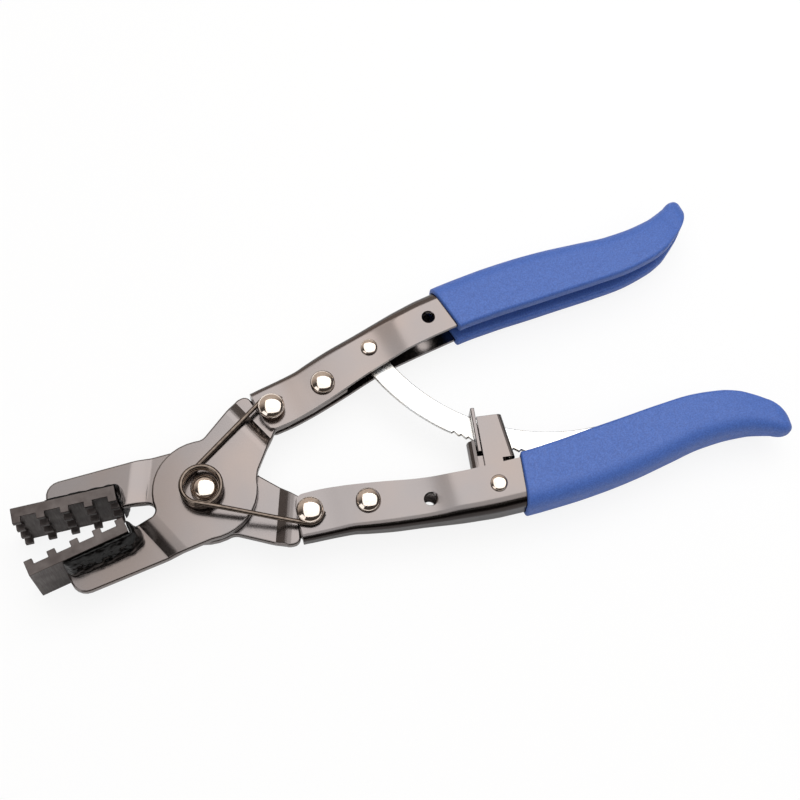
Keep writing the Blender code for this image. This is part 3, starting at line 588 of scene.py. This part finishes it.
def makePlate(lever, side):
    node = f"{side}_plate"
    bm = mergedCopy(node)
    breakRims(bm, plate["edge"], plate["edgeSegments"], plate["sharp"], clamp=False)
    pressSteps(bm, lever["matrix"].inverted())
    ridePiece(flatShade(addPiece(f"{node}_dressed", bm, node)), node)


def makeJawBlock(lever):
    node = f"{lever['jaw']}_jaw_block"
    piece = addPiece(f"{node}_dressed", brokenEdges(node, block["edge"]), node)
    ridePiece(flatShade(piece), node)


# The bead's own wedge, melted smooth and pushed into lumps and ripples. A slim one lies close to
# its block
def makeWeld(node, lever, slim=1):
    bm = mergedCopy(node)
    bm.transform(lever["matrix"].inverted())
    for vert in bm.verts:
        vert.co.x = min(vert.co.x, weld["end"] + (vert.co.x - weld["end"]) * slim)
        vert.co.y = max(vert.co.y, weld["back"] + (vert.co.y - weld["back"]) * slim)
    bm.transform(lever["matrix"])
    piece = addPiece(f"{node}_dressed", bm, node)
    melt = piece.modifiers.new("melt", "REMESH")
    melt.mode = "VOXEL"
    melt.voxel_size = weld["voxel"]
    settle = piece.modifiers.new("settle", "SMOOTH")
    settle.iterations = weld["settle"]
    applyModifiers(piece)
    bm = bmesh.new()
    bm.from_mesh(piece.data)
    bm.normal_update()
    for vert in bm.verts:
        lump = noise.noise(vert.co / weld["lumpSize"])
        ripple = noise.noise(vert.co / weld["rippleSize"])
        vert.co += vert.normal * (lump * weld["lump"] + ripple * weld["ripple"])
    bm.to_mesh(piece.data)
    bm.free()
    piece.data.shade_smooth()
    ridePiece(piece, node)


for side, lever in levers.items():
    makePlate(lever, side)
    makeJawBlock(lever)
    makeWeld(f"{lever['jaw']}_jaw_front_weld", lever, 1 if side == "front" else weld["slim"])
    makeWeld(f"{lever['jaw']}_jaw_rear_weld", lever)
print("plates, jaws and welds made")


# Channel handles. Their heights and widths are read from the frame's own handles

# Each hole has its reach from the pivot, its drop below the web and its radius
handle = {"sheet": 1.5 * mm, "bendFront": 2.6 * mm, "bendBack": 4.1 * mm, "bendFrom": 45 * mm,
          "bendTo": 95 * mm, "bendLimit": 0.62, "easing": 1.05, "bendSteps": 14, "sideSteps": 6,
          "webSteps": 6, "stepLength": 1.5 * mm, "frontStep": 0.25 * mm, "frontLength": 3.2 * mm,
          "swell": 0.55 * mm, "swellReach": 16 * mm, "swellAt": {"upper": 79 * mm, "lower": 76 * mm},
          "holes": ((31.1 * mm, 8.8 * mm, 2.6 * mm), (50.2 * mm, 9.6 * mm, 2.6 * mm),
                    (69.7 * mm, 7.4 * mm, 2.1 * mm), (92.4 * mm, 8.6 * mm, 2.1 * mm)),
          "flare": 0.22 * mm, "edge": 0.2 * mm, "edgeAngle": 60, "sharp": 40, "paintedShadeFacing": 0.6}
sectionGap = 0.08 * mm   # vertices closer than this along a lever are one section


# Stations along a lever node: place, highest and lowest Y and half the width, in the lever's own frame
def readStations(node, matrix):
    inverse = matrix.inverted()
    points = sorted((inverse @ vert.co for vert in nodes[node].data.vertices), key=lambda p: p.x)
    slices = [[points[0]]]
    for point in points[1:]:
        if point.x - slices[-1][0].x > sectionGap:
            slices.append([])
        slices[-1].append(point)
    stations = []
    for slice in slices:
        corners = {(round(p.y / mm, 2), round(p.z / mm, 2)) for p in slice}
        if len(corners) > 20:   # a slice holds a whole section, not the rim of a hole
            stations.append((slice[0].x, max(p.y for p in slice), min(p.y for p in slice),
                             max(abs(p.z) for p in slice)))
    return stations


# Smooth curve through the stations without overshoot
def curveThrough(stations, x, column):
    x = min(max(x, stations[0][0]), stations[-1][0])
    k = 0
    while k < len(stations) - 2 and x > stations[k + 1][0]:
        k += 1

    def rise(i):
        i = min(max(i, 0), len(stations) - 2)
        return (stations[i + 1][column] - stations[i][column]) / (stations[i + 1][0] - stations[i][0])

    def slope(i):
        before, after = rise(i - 1), rise(i)
        return 0 if before * after <= 0 else 2 * before * after / (before + after)

    width = stations[k + 1][0] - stations[k][0]
    t = (x - stations[k][0]) / width
    low, high = stations[k][column], stations[k + 1][column]
    return (low * (1 + 2 * t) * (1 - t) ** 2 + high * t * t * (3 - 2 * t)
            + width * (slope(k) * t * (1 - t) ** 2 - slope(k + 1) * t * t * (1 - t)))


def alongHandle(stations):
    first, last = stations[0][0], stations[-1][0]
    places = []
    x = first
    while x < last - 1e-6:
        places.append(x)
        x += handle["frontStep"] if x < first + handle["frontLength"] else handle["stepLength"]
    return places + [last]


# Points of the outer skin across a channel, from one flange edge round the web to the other
def channelPath(top, edge, half, bend):
    points = []
    down = bend * handle["easing"]
    for i in range(handle["sideSteps"]):
        points.append((edge + (top - down - edge) * i / handle["sideSteps"], half))
    for i in range(handle["bendSteps"]):
        a = 90 * deg * i / handle["bendSteps"]
        points.append((top - down + down * math.sin(a), half - bend + bend * math.cos(a)))
    middle = [(top, (half - bend) * (1 - 2 * i / handle["webSteps"]))
              for i in range(handle["webSteps"] + 1)]
    mirrored = [(y, -z) for y, z in reversed(points)]
    return points + middle + mirrored


# A sheet of faces laid over rows of points by moving a plain grid's corners
def gridShape(rows):
    bm = bmesh.new()
    across, along = len(rows[0]), len(rows)
    made = bmesh.ops.create_grid(bm, x_segments=along - 1, y_segments=across - 1, size=0.5)["verts"]
    for vert in made:
        row = round((vert.co.x + 0.5) * (along - 1))
        column = round((vert.co.y + 0.5) * (across - 1))
        vert.co = rows[row][column]
    return bm


# The web's corners are pressed rounder towards the grip
def bendAt(x, half):
    share = softStep((x - handle["bendFrom"]) / (handle["bendTo"] - handle["bendFrom"]))
    bend = handle["bendFront"] + (handle["bendBack"] - handle["bendFront"]) * share
    return min(bend, half * handle["bendLimit"])


# Half the channel's width, with a shallow dip and swell over a short stretch before the wide end
def halfAt(stations, x, lever):
    share = (x - handle["swellAt"][lever["handle"]]) / handle["swellReach"]
    side = 1 if share < 0 else 2
    swell = handle["swell"] * 2 * share * math.exp(0.5 - 2 * (side * share) ** 2)
    return curveThrough(stations, x, 3) + swell


def makeHandle(node, lever):
    stations = readStations(node, lever["matrix"])
    rows = []
    for x in alongHandle(stations):
        top, edge = [curveThrough(stations, x, column) for column in (1, 2)]
        half = halfAt(stations, x, lever)
        rows.append([(x, y, z) for y, z in channelPath(top, edge, half, bendAt(x, half))])
    bm = gridShape(rows)
    bmesh.ops.recalc_face_normals(bm, faces=bm.faces[:])
    web = max(bm.faces, key=lambda face: face.calc_center_median().y)
    if web.normal.y < 0:
        bmesh.ops.reverse_faces(bm, faces=bm.faces[:])
    piece = addPiece(f"{node}_dressed", bm, node, lever["matrix"])
    wall = piece.modifiers.new("wall", "SOLIDIFY")
    wall.thickness = handle["sheet"]
    wall.offset = -1
    wall.use_even_offset = True
    cutters = []
    for reach, drop, radius in handle["holes"]:
        y = curveThrough(stations, reach, 1) - drop
        half = halfAt(stations, reach, lever)
        flare = handle["flare"]
        end, wide = half + 1 * mm, radius + 1 * mm + flare   # the cutter runs past both flanges
        profile = [(0, -end), (wide, -end), (radius, -half + flare),
                   (radius, half - flare), (wide, end), (0, end)]
        cutter = bpy.data.objects.new("holeCutter", bpy.data.meshes.new("holeCutter"))
        shape = turnedShape(profile, 48)
        bmesh.ops.translate(shape, verts=shape.verts[:], vec=(reach, y, 0))
        shape.to_mesh(cutter.data)
        shape.free()
        cutter.data.transform(lever["matrix"])
        bpy.context.scene.collection.objects.link(cutter)
        hole = piece.modifiers.new("hole", "BOOLEAN")
        hole.operation = "DIFFERENCE"
        hole.solver = "EXACT"
        hole.object = cutter
        cutters.append(cutter)
    edges = piece.modifiers.new("edges", "BEVEL")
    edges.width = handle["edge"]
    edges.segments = 2
    edges.limit_method = "ANGLE"
    edges.angle_limit = handle["edgeAngle"] * deg
    applyModifiers(piece)
    for cutter in cutters:
        bpy.data.objects.remove(cutter)
    piece.data.shade_smooth()
    piece.data.set_sharp_from_angle(angle=handle["sharp"] * deg)
    # The channel's web side, facing the lever's +Y, takes the painted shade
    paintShadeOnSide(piece, lever["matrix"].to_3x3() @ Vector((0, 1, 0)), handle["paintedShadeFacing"])
    ridePiece(flatShade(piece), node)


# Dipped grips: one skin over the channel and inside it, closed at the tip

# A grip starts at a share of its handle's length, where its mouth slants, and closes at the handle's end
gripShape = {"startShare": {"upper": 0.441, "lower": 0.452}, "coat": 1.6 * mm, "thin": 0.25 * mm,
             "tuck": 3.0 * mm, "lip": 0.7 * mm, "slant": 2.0 * mm, "slantLength": 18 * mm,
             "stepLength": 1.6 * mm, "edge": 1.2 * mm, "slotMargin": 7.5 * mm, "slotDepth": 0.5 * mm,
             "slotHalf": 0.6 * mm, "tipLength": 7.0 * mm, "tipRise": 4.0 * mm, "tipTurn": 88 * deg,
             "tuckSteps": 3, "lipSteps": 6, "tipSteps": 10}


# Ring of the coat round the channel: outer U, rounded flange edges and the slot between them
def coatRing(x, top, edge, floor, half, wall, bend, rounding, slant):
    inner = half - wall
    innerBend = min(max(bend - wall, inner * 0.25), inner * 0.8)
    quarter = 90 * deg
    corners = [
        (edge + rounding, half - rounding, rounding, 2 * quarter, quarter, 5),
        (top - bend, half - bend, bend, quarter, 0, 9),
        (top - bend, bend - half, bend, 0, -quarter, 9),
        (edge + rounding, rounding - half, rounding, -quarter, -2 * quarter, 5),
        (edge + rounding, -inner - rounding, rounding, 2 * quarter, quarter, 5),
        (floor - innerBend, innerBend - inner, innerBend, -quarter, 0, 5),
        (floor - innerBend, inner - innerBend, innerBend, 0, quarter, 5),
        (edge + rounding, inner + rounding, rounding, -quarter, -2 * quarter, 5),
    ]
    ring = []
    for y, z, radius, start, end, steps in corners:
        for i in range(steps + 1):
            a = start + (end - start) * i / steps
            rise, side = y + radius * math.cos(a), z + radius * math.sin(a)
            ring.append((x + slant * (top - rise) / (top - edge), rise, side))
    return ring


def makeGrip(node, lever):
    stations = readStations(f"{lever['handle']}_handle", lever["matrix"])
    first, last = stations[0][0], stations[-1][0]
    start = first + (last - first) * gripShape["startShare"][lever["handle"]]
    coat, sheet = gripShape["coat"], handle["sheet"]

    def sizes(x):
        return [curveThrough(stations, x, column) for column in (1, 2, 3)]

    def skin(x, thick, slant):
        top, edge, half = sizes(x)
        closing = softStep((x - last + gripShape["slotMargin"]) / (gripShape["slotMargin"] * 0.8))
        floor = top - sheet - thick
        floor += (edge - thick + gripShape["slotDepth"] - floor) * closing
        wall = sheet + 2 * thick
        wall += (half * 0.9 - wall) * closing
        wall = min(wall, half + thick - gripShape["slotHalf"])
        rounding = min(gripShape["edge"] * thick / coat, wall * 0.45)
        rounding += (gripShape["slotDepth"] * 0.8 - rounding) * closing
        bend = bendAt(x, half) + thick
        return coatRing(x, top + thick, edge - thick, floor, half + thick, wall, bend, rounding, slant)

    def slantAt(x):
        return gripShape["slant"] * (1 - softStep((x - start) / gripShape["slantLength"]))

    rows = []
    thin, tuckSteps, lipSteps = gripShape["thin"], gripShape["tuckSteps"], gripShape["lipSteps"]
    for i in range(tuckSteps + 1):   # the hidden end, tucked against the steel
        rows.append(skin(start + gripShape["tuck"] * (1 - i / tuckSteps), thin, gripShape["slant"]))
    lip = gripShape["lip"]
    for i in range(1, lipSteps + 1):   # the rounded front lip
        a = 90 * deg * i / lipSteps
        thick = thin + (coat - thin) * math.sin(a)
        rows.append(skin(start + lip * (1 - math.cos(a)), thick, gripShape["slant"]))
    x = start + lip
    while x < last - 0.5 * mm:
        x += min(gripShape["stepLength"], last - x)
        rows.append(skin(x, coat, slantAt(x)))
    end = rows[-1]
    middle = (min(p[1] for p in end) + max(p[1] for p in end)) / 2
    for i in range(1, gripShape["tipSteps"] + 1):   # the closed tip
        a = gripShape["tipTurn"] * i / gripShape["tipSteps"]
        rise = middle + gripShape["tipRise"] * math.sin(a)
        rows.append([(last + gripShape["tipLength"] * math.sin(a), rise + (p[1] - middle) * math.cos(a),
                      p[2] * math.cos(a)) for p in end])
    bm = gridShape([row + [row[0]] for row in rows])
    bmesh.ops.remove_doubles(bm, verts=bm.verts[:], dist=0.002 * mm)
    bmesh.ops.holes_fill(bm, edges=[edge for edge in bm.edges if edge.is_boundary], sides=0)
    bmesh.ops.recalc_face_normals(bm, faces=bm.faces[:])
    piece = addPiece(f"{node}_dressed", bm, node, lever["matrix"], 80)
    ridePiece(piece, node)


for lever in levers.values():
    makeHandle(f"{lever['handle']}_handle", lever)
    makeGrip(f"{lever['handle']}_grip", lever)
print("handles and grips made")


# Rivets and pins, each turned from its profile. Sizes follow the frame's own rivets: the tail behind is
# a low bulge, and each seat stands a little off the flange

rivetTail = 1.2 * mm
seatGap = 0.2 * mm
domeBase = 0.25 * mm
rivets = {
    "front": {"reach": 31.1 * mm, "drop": 8.8 * mm, "shank": 2.4 * mm, "head": 4.4 * mm,
              "rise": 2.5 * mm, "neck": 3.0 * mm, "neckHeight": 2.2 * mm},
    "rear": {"reach": 50.2 * mm, "drop": 9.6 * mm, "shank": 2.4 * mm, "head": 4.1 * mm,
             "rise": 2.5 * mm},
    "barPin": {"reach": 69.7 * mm, "drop": 7.4 * mm, "shank": 1.9 * mm, "head": 2.8 * mm,
               "rise": 1.3 * mm},
    "lockPin": {"reach": 92.4 * mm, "drop": 8.6 * mm, "shank": 1.9 * mm, "head": 2.8 * mm,
                "rise": 1.3 * mm},
}


def makeRivet(node, kind, lever):
    size = rivets[kind]
    stations = readStations(f"{lever['handle']}_handle", lever["matrix"])
    y = curveThrough(stations, size["reach"], 1) - size["drop"]
    seat = halfAt(stations, size["reach"] + size["head"] / 2, lever) + seatGap
    shank, head, tail = size["shank"], size["head"], rivetTail
    profile = [(0, -seat - tail), (shank * 1.1, -seat - tail), (shank * 1.4, -seat - tail * 0.75),
               (shank * 1.55, -seat - tail * 0.3), (shank * 1.5, -seat), (shank, -seat), (shank, seat)]
    base = seat
    if "neck" in size:
        profile += [(size["neck"], seat), (size["neck"], seat + size["neckHeight"])]
        base = seat + size["neckHeight"]
    profile += [(head * 0.93, base)]
    profile += domeProfile(head, base + domeBase, size["rise"] - domeBase)
    bm = turnedShape([(radius, lever["side"] * z) for radius, z in profile])
    bmesh.ops.translate(bm, verts=bm.verts[:], vec=(size["reach"], y, 0))
    bmesh.ops.recalc_face_normals(bm, faces=bm.faces[:])
    ridePiece(addPiece(f"{node}_dressed", bm, node, lever["matrix"], 50), node)


pivotShape = {"head": 4.55 * mm, "headBase": 0.3 * mm, "headGap": 0.2 * mm, "overrise": 0.1 * mm,
              "shank": 3.6 * mm, "tail": 5.5 * mm, "tailHeight": 1.6 * mm, "tailEdge": 0.4 * mm,
              "washerGap": 0.2 * mm, "washerEdge": 0.15 * mm}


def makePivot():
    low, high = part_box("pivot_rivet")
    head, shank, tail = pivotShape["head"], pivotShape["shank"], pivotShape["tail"]
    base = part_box("pivot_front_washer")[1].z + pivotShape["headGap"]
    rise = high.z - base + pivotShape["overrise"]
    edge, tailTop = pivotShape["tailEdge"], low.z + pivotShape["tailHeight"]
    profile = [(0, low.z), (tail - edge, low.z), (tail, low.z + edge),
               (tail, tailTop), (shank, tailTop), (shank, base), (head * 0.95, base)]
    profile += domeProfile(head, base + pivotShape["headBase"], rise - pivotShape["headBase"], 18)
    ridePiece(addPiece("pivot_rivet_dressed", turnedShape(profile, 96), "pivot_rivet", smoothAngle=50),
              "pivot_rivet")
    for node in ("pivot_front_washer", "pivot_rear_washer"):
        bottom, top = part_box(node)
        outer, inner = (top.x - bottom.x) / 2, shank + pivotShape["washerGap"]
        rim = pivotShape["washerEdge"]
        profile = [(inner, bottom.z + rim), (inner + rim, bottom.z), (outer - rim, bottom.z),
                   (outer, bottom.z + rim), (outer, top.z - rim), (outer - rim, top.z),
                   (inner + rim, top.z), (inner, top.z - rim), (inner, bottom.z + rim)]
        ridePiece(addPiece(f"{node}_dressed", turnedShape(profile, 96), node), node)


for lever in levers.values():
    makeRivet(f"{lever['handle']}_front_rivet", "front", lever)
    makeRivet(f"{lever['handle']}_rear_rivet", "rear", lever)
makeRivet("ratchet_bar_pin", "barPin", levers["front"])
makeRivet("lock_pin", "lockPin", levers["rear"])
makePivot()
print("rivets and pivot made")


# Return spring: one wire from the upper rivet's neck, round the pivot and to the lower rivet's neck

spring = {"wire": 0.8 * mm, "coil": 6.4 * mm, "offset": (-0.85 * mm, 0.2 * mm), "turns": 2,
          "pitch": 1.78 * mm, "perTurn": 40, "neck": 3.0 * mm, "gap": 0.3 * mm, "hook": 75 * deg,
          "hookSteps": 8, "tail": 1.6 * mm, "plateFront": 3.15 * mm}


def springPlace(centre, radius, heading):
    return centre + Vector((math.sin(heading), -math.cos(heading))) * radius


def springHeading(first, firstRadius, second, secondRadius):
    across = second - first
    return math.atan2(across.y, across.x) + math.asin((firstRadius - secondRadius) / across.length)


def springRoute():
    front = rivets["front"]
    stations = readStations("upper_handle", frontLever)
    rise = curveThrough(stations, front["reach"], 1) - front["drop"]
    upper = (Matrix.Rotation(halfOpening, 2) @ Vector((front["reach"], rise)))
    lower = Vector((upper.x, -upper.y))
    coil = Vector(spring["offset"])
    hookRadius = spring["neck"] + spring["gap"] + spring["wire"]
    hookHeight = curveThrough(stations, front["reach"], 3) + seatGap + spring["gap"] + spring["wire"]
    coilLow = spring["plateFront"] + spring["gap"] + spring["wire"]
    coming = springHeading(upper, hookRadius, coil, spring["coil"])
    going = springHeading(coil, spring["coil"], lower, hookRadius)
    turn = (going - coming) % (2 * math.pi) + spring["turns"] * 2 * math.pi
    coilHigh = coilLow + spring["pitch"] * turn / (2 * math.pi)
    route = []

    def hook(centre, heading, sweep, back=False):
        points = []
        for i in range(spring["hookSteps"] + 1):
            spot = springPlace(centre, hookRadius, heading + sweep * (1 - i / spring["hookSteps"]))
            points.append((spot.x, spot.y, hookHeight))
        outward = Vector((math.cos(heading + sweep), math.sin(heading + sweep)))
        tail = Vector(points[0][:2]) + outward * math.copysign(spring["tail"], sweep)
        points = [(tail.x, tail.y, hookHeight)] + points
        return list(reversed(points)) if back else points

    def leg(start, end, low, high, steps=14):
        points = []
        for i in range(1, steps):
            spot = start.lerp(end, i / steps)
            points.append((spot.x, spot.y, low + (high - low) * softStep(i / steps)))
        return points

    route += hook(upper, coming, -spring["hook"])
    route += leg(springPlace(upper, hookRadius, coming), springPlace(coil, spring["coil"], coming),
                 hookHeight, coilLow)
    steps = round(spring["perTurn"] * turn / (2 * math.pi))
    for i in range(steps + 1):
        spot = springPlace(coil, spring["coil"], coming + turn * i / steps)
        route.append((spot.x, spot.y, coilLow + (coilHigh - coilLow) * i / steps))
    route += leg(springPlace(coil, spring["coil"], going), springPlace(lower, hookRadius, going),
                 coilHigh, hookHeight)
    route += hook(lower, going, spring["hook"], back=True)
    return [(x, y, z + pivot.z) for x, y, z in route]


def wirePiece(name, node, route, radius):
    curve = bpy.data.curves.new(name, "CURVE")
    curve.dimensions = "3D"
    curve.bevel_depth = radius
    curve.bevel_resolution = 4
    curve.use_fill_caps = True
    line = curve.splines.new("POLY")
    line.points.add(len(route) - 1)
    for target, point in zip(line.points, route):
        target.co = (*point, 1)
    guide = bpy.data.objects.new(f"{name}Route", curve)
    bpy.context.scene.collection.objects.link(guide)
    bpy.context.view_layer.update()
    evaluated = guide.evaluated_get(bpy.context.evaluated_depsgraph_get())
    bm = bmesh.new()
    bm.from_mesh(evaluated.to_mesh())
    bmesh.ops.remove_doubles(bm, verts=bm.verts[:], dist=0.001 * mm)
    bmesh.ops.recalc_face_normals(bm, faces=bm.faces[:])
    bpy.data.objects.remove(guide)
    return addPiece(name, bm, node, smoothAngle=50)


returnSpring = wirePiece("return_spring_dressed", "return_spring", springRoute(), spring["wire"])
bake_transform(returnSpring)


# Torsion spring on the lock pin, inside the guide: a close coil with a leg up at each end

lockSpring = {"coil": 2.75 * mm, "wire": 0.4 * mm, "pitch": 1.25 * mm, "perTurn": 32, "leg": 8.5 * mm,
              "lean": 6.0 * deg}   # the lock leans back from the lever by this


def lockSpringRoute():
    low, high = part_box("lock_spring")
    centre = Vector(joints["lock_pivot"]["pos_m"])
    # to the nearest half turn
    turns = round(((high.z - low.z - 2 * lockSpring["wire"]) / lockSpring["pitch"]) * 2) / 2
    rise = lockSpring["pitch"] * turns
    steps = round(lockSpring["perTurn"] * turns)
    points = []
    for i in range(steps + 1):
        a = 2 * math.pi * turns * i / steps - 90 * deg
        points.append(Vector((math.sin(a), -math.cos(a), 0)) * lockSpring["coil"]
                      + Vector((0, 0, rise * (i / steps - 0.5))))
    up = Vector((0, lockSpring["leg"], 0))
    points = [points[0] + up] + points + [points[-1] + up]
    turned = Matrix.Translation(centre) @ Matrix.Rotation(-halfOpening - lockSpring["lean"], 4, "Z")
    return [tuple(turned @ point) for point in points]


lockCoil = wirePiece("lock_spring_dressed", "lock_spring", lockSpringRoute(), lockSpring["wire"])
ridePiece(lockCoil, "lock_spring")


# Ratchet bar, its spacers and the lock. Bevels keep their full width on the bar and the pawl, beside
# the small faces of the teeth and of the bend

lock = {"edges": {"ratchet_bar": 0.42 * mm, "bar_front_spacer": 0.12 * mm, "bar_rear_spacer": 0.12 * mm,
                  "lock_lever": 0.2 * mm, "lock_pawl": 0.3 * mm, "bar_guide": 0.2 * mm},
        "fullEdges": ("ratchet_bar", "lock_pawl"), "edgeSegments": 3, "paintedShadeFacing": 0.2}
for node, width in lock["edges"].items():
    shape = brokenEdges(node, width, lock["edgeSegments"], clamp=node not in lock["fullEdges"])
    piece = addPiece(f"{node}_dressed", shape, node)
    if node == "lock_lever":
        # The lever's side facing +X takes the painted shade
        paintShadeOnSide(piece, Vector((1, 0, 0)), lock["paintedShadeFacing"])
    ridePiece(flatShade(piece), node)
print("spring, bar and lock made")

bpy.context.scene.view_settings.view_transform = "Standard"
